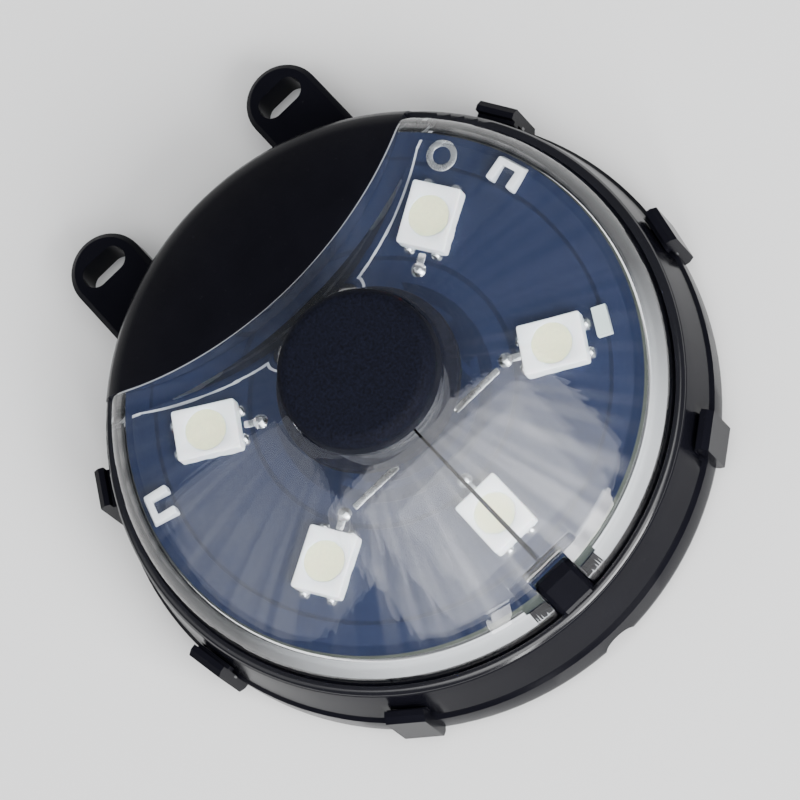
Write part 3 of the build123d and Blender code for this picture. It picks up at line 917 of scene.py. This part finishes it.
def led_resin():
    """Resin in a diode's well: a disc that dips a little in the middle, z = z0 + d (r / R)^2. Its
    first two rings make the flat underside."""
    count, fill_r, dip = 96, 1.12, 0.055 * MM
    floor, middle = LED_HEIGHT - 0.26 * MM, LED_HEIGHT - 0.09 * MM
    angle = np.linspace(0, 2 * np.pi, count, endpoint=False)
    radii = np.concatenate([[0.05, 1.0], np.linspace(fill_r, 0.04, 10)]) * MM
    dish = middle + dip * (radii / (fill_r * MM)) ** 2
    heights = np.where(np.arange(len(radii)) < 2, floor, dish)
    return stacked([round_points(angle) * radius for radius in radii], heights)


def pillow(length_x, length_y, height):
    """A solder mound: rings of a rounded rectangle that shrink as s and rise as h (1 - s^2.6)."""
    outline = box_outline(length_x, length_y, min(length_x, length_y) * 0.48, 7)
    sizes = np.array([1.0, 0.97, 0.9, 0.8, 0.66, 0.5, 0.32, 0.12])
    return stacked([outline * size for size in sizes], height * (1 - sizes ** 2.6))


def tinned(length_x, length_y):
    """A tinned strip of copper, eased at its rims."""
    return slab(box_outline(length_x, length_y, 0.1 * MM), 0, TIN, 0.02 * MM)


def led_solder(angle):
    """Solder of one diode: two fillets at each end, and inside a strip that ends in a round dot."""
    end_x, pad_y = 1.75 * MM, 0.80 * MM
    shapes = []
    for side_x in (-1, 1):
        for side_y in (-1, 1):
            fillet = pillow(0.62 * MM, 0.72 * MM, 0.34 * MM)
            shapes.append(shifted(fillet, side_x * (end_x + 0.10 * MM), side_y * pad_y))
    shapes.append(shifted(tinned(0.95 * MM, 0.42 * MM), -end_x - 0.62 * MM, 0))
    shapes.append(shifted(pillow(0.86 * MM, 0.86 * MM, 0.22 * MM), -end_x - 1.05 * MM, 0))
    return moved(joined(shapes), radial(LED_R, angle, BOARD_TOP))


def board_skin():
    """The board: its round outline with a notch for the key's tongue, as a plate with eased rims."""
    notch_half, room, edge = 1.25 * MM, 1.0 * MM, 0.04 * MM
    open_angle = math.asin(notch_half / BOARD_R)
    rim = arc(0.0, BOARD_R, -math.pi + open_angle, math.pi - open_angle, 240)
    notch_x = -(LENS_R - settings().lens.notch_depth) + room
    notch = np.array([[notch_x, notch_half], [notch_x, -notch_half]])
    return slab(np.concatenate([rim, notch]), BOARD_BASE, BOARD_TOP, edge)


def ring_pad(x, y, outer, inner):
    """A flat tinned ring round a plated hole."""
    profile = rounded_path([(inner, 0.0), (outer, 0.0), (outer, TIN), (inner, TIN)], 0.01 * MM, 3)
    return shifted(tube(turned(profile, 64)), x, y, BOARD_TOP)


class PieceOperator:
    """What the operators share: a finished run returns FINISHED, and anything else is an error."""

    bl_options = {"REGISTER", "UNDO"}

    def execute(self, context):
        self.make()
        return {"FINISHED"}


class WHEELLIGHT_OT_rear_unit(PieceOperator, bpy.types.Operator):
    """Finish the rear cover with its ears, snap arms and spoke groove, the gasket and the coin cell"""

    bl_idname = "wheellight.rear_unit"
    bl_label = "Rear cover and cell"

    def make(self):
        shell = settings().shell
        satin = black_plastic(
            "rear_black_plastic", shell.head_roughness - 0.06, shell.rim_roughness, CASE_R, shell.seam,
            grain_depth=0.010 * MM)
        eased_copy("rear_cover", "rear_cover_moulding", satin, "rear_unit", shell.edge)
        dressed(moulded("seal_rubber", (0.012, 0.012, 0.012), roughness=0.7), "rim_gasket")
        dressed(turned_steel(), "cell_can", "cell_cap")
        dressed(moulded("cell_insulator", (0.45, 0.46, 0.48), roughness=0.5), "cell_grommet")


class WHEELLIGHT_OT_front_case(PieceOperator, bpy.types.Operator):
    """Finish the front case: rim, head and tail key"""

    bl_idname = "wheellight.front_case"
    bl_label = "Front case"

    def make(self):
        shell = settings().shell
        gloss = black_plastic(
            "case_black_plastic", shell.head_roughness, shell.rim_roughness, LENS_R, shell.bezel,
            grain_depth=0.008 * MM)
        eased_copy("front_case", "front_case_moulding", gloss, "front_unit", shell.edge)


class WHEELLIGHT_OT_lens(PieceOperator, bpy.types.Operator):
    """Build the clear lens with its bite, notch, button hole and two feet"""

    bl_idname = "wheellight.lens"
    bl_label = "Lens"

    def make(self):
        piece("clear_lens", lens_skin(settings().lens), clear_plastic(),
              "front_unit", ("lens",), sharp=40)
        feet = joined([foot_skin(angle) for angle in FOOT_ANGLES])
        piece("lens_feet", feet, frosted_plastic(), "front_unit", ("lens",), sharp=40)


class WHEELLIGHT_OT_board(PieceOperator, bpy.types.Operator):
    """Build the circuit board with its tinned runs and the plated hole's ring"""

    bl_idname = "wheellight.board"
    bl_label = "Circuit board"

    def make(self):
        piece("board_plate", board_skin(), solder_mask(), "front_unit",
              ("circuit_board",))
        tin = metal("tinned_copper", (0.86, 0.87, 0.86), roughness=0.28, feature=0.35, depth=0.02)
        run = tinned(0.36 * MM, 3.2 * MM)
        runs = [shifted(run, -3.7 * MM, side * 3.7 * MM, BOARD_TOP) for side in (-1, 1)]
        runs.append(ring_pad(7.4 * MM, -10.9 * MM, 0.85 * MM, 0.5 * MM))
        piece("tinned_runs", joined(runs), tin, "front_unit")


class WHEELLIGHT_OT_diodes(PieceOperator, bpy.types.Operator):
    """Build the five white diodes with their resin and solder"""

    bl_idname = "wheellight.diodes"
    bl_label = "Diodes"

    def make(self):
        board = settings().board
        white = moulded(
            "diode_housing", board.housing, roughness=0.42, feature=0.3, spread=0.04, glow=0.25)
        resin = moulded(
            "diode_resin", board.resin, roughness=0.22, feature=0.15, spread=0.10, glow=0.35)
        tin = metal("solder", (0.84, 0.85, 0.85), roughness=0.24, feature=0.4, depth=0.02)
        for number, angle in enumerate(LED_ANGLES, start=1):
            place = radial(LED_R, angle, BOARD_TOP)
            piece(f"diode_housing_{number}", moved(led_housing(), place), white,
                  "front_unit", (f"led_body_{number}",))
            piece(f"diode_resin_{number}", moved(led_resin(), place), resin,
                  "front_unit", (f"led_window_{number}",))
            piece(f"diode_solder_{number}", led_solder(angle), tin, "front_unit")


class WHEELLIGHT_OT_small_parts(PieceOperator, bpy.types.Operator):
    """Finish the chip, the capacitor, the resistors and the cell's contacts"""

    bl_idname = "wheellight.small_parts"
    bl_label = "Small parts"

    def make(self):
        dressed(film_resistor(), "resistor_1", "resistor_2", "resistor_3")
        dressed(moulded("capacitor_ceramic", (0.40, 0.29, 0.19), roughness=0.5), "capacitor")
        epoxy = moulded("chip_black", (0.018, 0.018, 0.019), roughness=0.55, feature=0.06)
        dressed(epoxy, "controller_chip")
        plated = metal("plated_spring", (0.74, 0.74, 0.72), roughness=0.26)
        dressed(plated, "negative_contact", "positive_contact")


class WHEELLIGHT_OT_switch(PieceOperator, bpy.types.Operator):
    """Finish the push switch and build the rubber button over it"""

    bl_idname = "wheellight.switch"
    bl_label = "Switch and button"

    def make(self):
        plated = metal("switch_plate_metal", (0.74, 0.74, 0.73), roughness=0.30)
        dressed(plated, "switch_plate", "switch_terminals")
        nylon = moulded("switch_plastic", (0.020, 0.020, 0.021), roughness=0.5)
        dressed(nylon, "switch_body", "switch_plunger")
        piece("button_rubber_cap", make_button_shape(settings().button), button_rubber(),
              "button", ("button_cap",), sharp=45)


class WHEELLIGHT_OT_stage(PieceOperator, bpy.types.Operator):
    """Build the pale floor, the soft lights and the camera"""

    bl_idname = "wheellight.stage"
    bl_label = "Stage"

    def make(self):
        floor_sheet()
        sky(settings().stage.sky)
        # Name, direction from the part, distance and size in metres, and power in watts
        softbox("wide_light", (-0.375, 0.03, 0.927), 0.60, (0.70, 0.60), 2.6)
        softbox("middle_light", (-0.342, 0.02, 0.940), 0.58, (0.50, 0.40), 1.1)
        softbox("near_light", (-0.309, 0.00, 0.951), 0.56, (0.36, 0.24), 0.4)
        softbox("side_light", (-0.80, -0.15, 0.58), 0.60, (0.30, 0.30), 4.5)
        softbox("veil_light", (0.20, 0.66, 0.72), 0.60, (0.45, 0.40), 0.5)
        softbox("rim_light", (-0.85, 0.35, 0.40), 0.45, (0.05, 0.34), 0.7)
        add_camera()


def floor_sheet():
    """A flat floor that touches the rear face: a grid of x and y at one height."""
    half_side, count = 1.5, 13
    reach = np.linspace(-half_side, half_side, count)
    x, y = np.meshgrid(reach, reach, indexing="ij")
    points = np.stack([x, y, np.full_like(x, REAR_BASE)], -1).reshape(-1, 3)
    mesh = bpy.data.meshes.new("floor")
    mesh.from_pydata(points.tolist(), [], cells(count, count, False, False).tolist())
    mesh.materials.append(floor_paint())
    linked("floor", mesh)


def sky(strength):
    """Even pale light from all sides."""
    world = bpy.data.worlds.new("sky")
    world.use_nodes = True
    background = world.node_tree.nodes["Background"]
    background.inputs["Color"].default_value = (0.93, 0.96, 1.0, 1.0)
    background.inputs["Strength"].default_value = strength
    bpy.context.scene.world = world


def softbox(name, direction, distance, size, power):
    """A rectangular light at a distance in a direction from the part, facing it."""
    away = Vector(direction).normalized()
    light = bpy.data.lights.new(name, "AREA")
    light.shape = "RECTANGLE"
    light.size, light.size_y = size
    light.energy = power
    lamp = linked(name, light)
    lamp.location = away * distance
    lamp.rotation_euler = away.to_track_quat("Z", "Y").to_euler()


def add_camera():
    """A long lens on the photo's line of sight: tilted from straight above towards -X, and rolled
    so that the spoke's rim end points up and left."""
    tilt, swing = math.radians(22.5), math.radians(5)
    spoke_right, spoke_up = -0.682, 0.731
    back = Vector((-math.sin(tilt) * math.cos(swing), -math.sin(tilt) * math.sin(swing), math.cos(tilt)))
    along = (Vector((1, 0, 0)) - back * back.x).normalized()
    across = back.cross(along)
    image_right = along * spoke_right - across * spoke_up
    image_up = along * spoke_up + across * spoke_right
    turn = Matrix((image_right, image_up, back)).transposed().to_4x4()
    data = bpy.data.cameras.new("camera")
    data.lens = 300
    data.clip_start, data.clip_end = 0.01, 10
    camera = linked("camera", data)
    target, distance = Vector((0.0, -0.3, 4.9)) * MM, 0.362
    camera.matrix_world = Matrix.Translation(target + back * distance) @ turn
    bpy.context.scene.camera = camera


OPERATORS = (
    WHEELLIGHT_OT_rear_unit, WHEELLIGHT_OT_front_case, WHEELLIGHT_OT_lens, WHEELLIGHT_OT_board,
    WHEELLIGHT_OT_diodes, WHEELLIGHT_OT_small_parts, WHEELLIGHT_OT_switch, WHEELLIGHT_OT_stage)


class WHEELLIGHT_PT_panel(bpy.types.Panel):
    """Lists the wheel light's pieces and settings"""

    bl_label = "Wheel light"
    bl_idname = "WHEELLIGHT_PT_panel"
    bl_space_type = "VIEW_3D"
    bl_region_type = "UI"
    bl_category = "Wheel light"

    def draw(self, context):
        for operator in OPERATORS:
            self.layout.operator(operator.bl_idname, text=operator.bl_label)
        for group in ("lens", "shell", "button", "board", "stage"):
            box = self.layout.box()
            box.label(text=group.capitalize())
            values = getattr(settings(), group)
            for name in values.bl_rna.properties.keys():
                if name not in ("rna_type", "name"):
                    box.prop(values, name)


CLASSES = (
    LensSettings, ShellSettings, ButtonSettings, BoardSettings, StageSettings, WheelLightSettings,
    *OPERATORS, WHEELLIGHT_PT_panel)


def register():
    """Registers the settings, the operators and the panel."""
    for item in CLASSES:
        bpy.utils.register_class(item)
    bpy.types.Scene.wheel_light = PointerProperty(type=WheelLightSettings)


def unregister():
    """Takes back what register did."""
    del bpy.types.Scene.wheel_light
    for item in reversed(CLASSES):
        bpy.utils.unregister_class(item)


def main():
    """Builds every piece and the stage."""
    register()
    for operator in OPERATORS:
        group, name = operator.bl_idname.split(".")
        getattr(getattr(bpy.ops, group), name)()


if __name__ == "__main__":
    main()
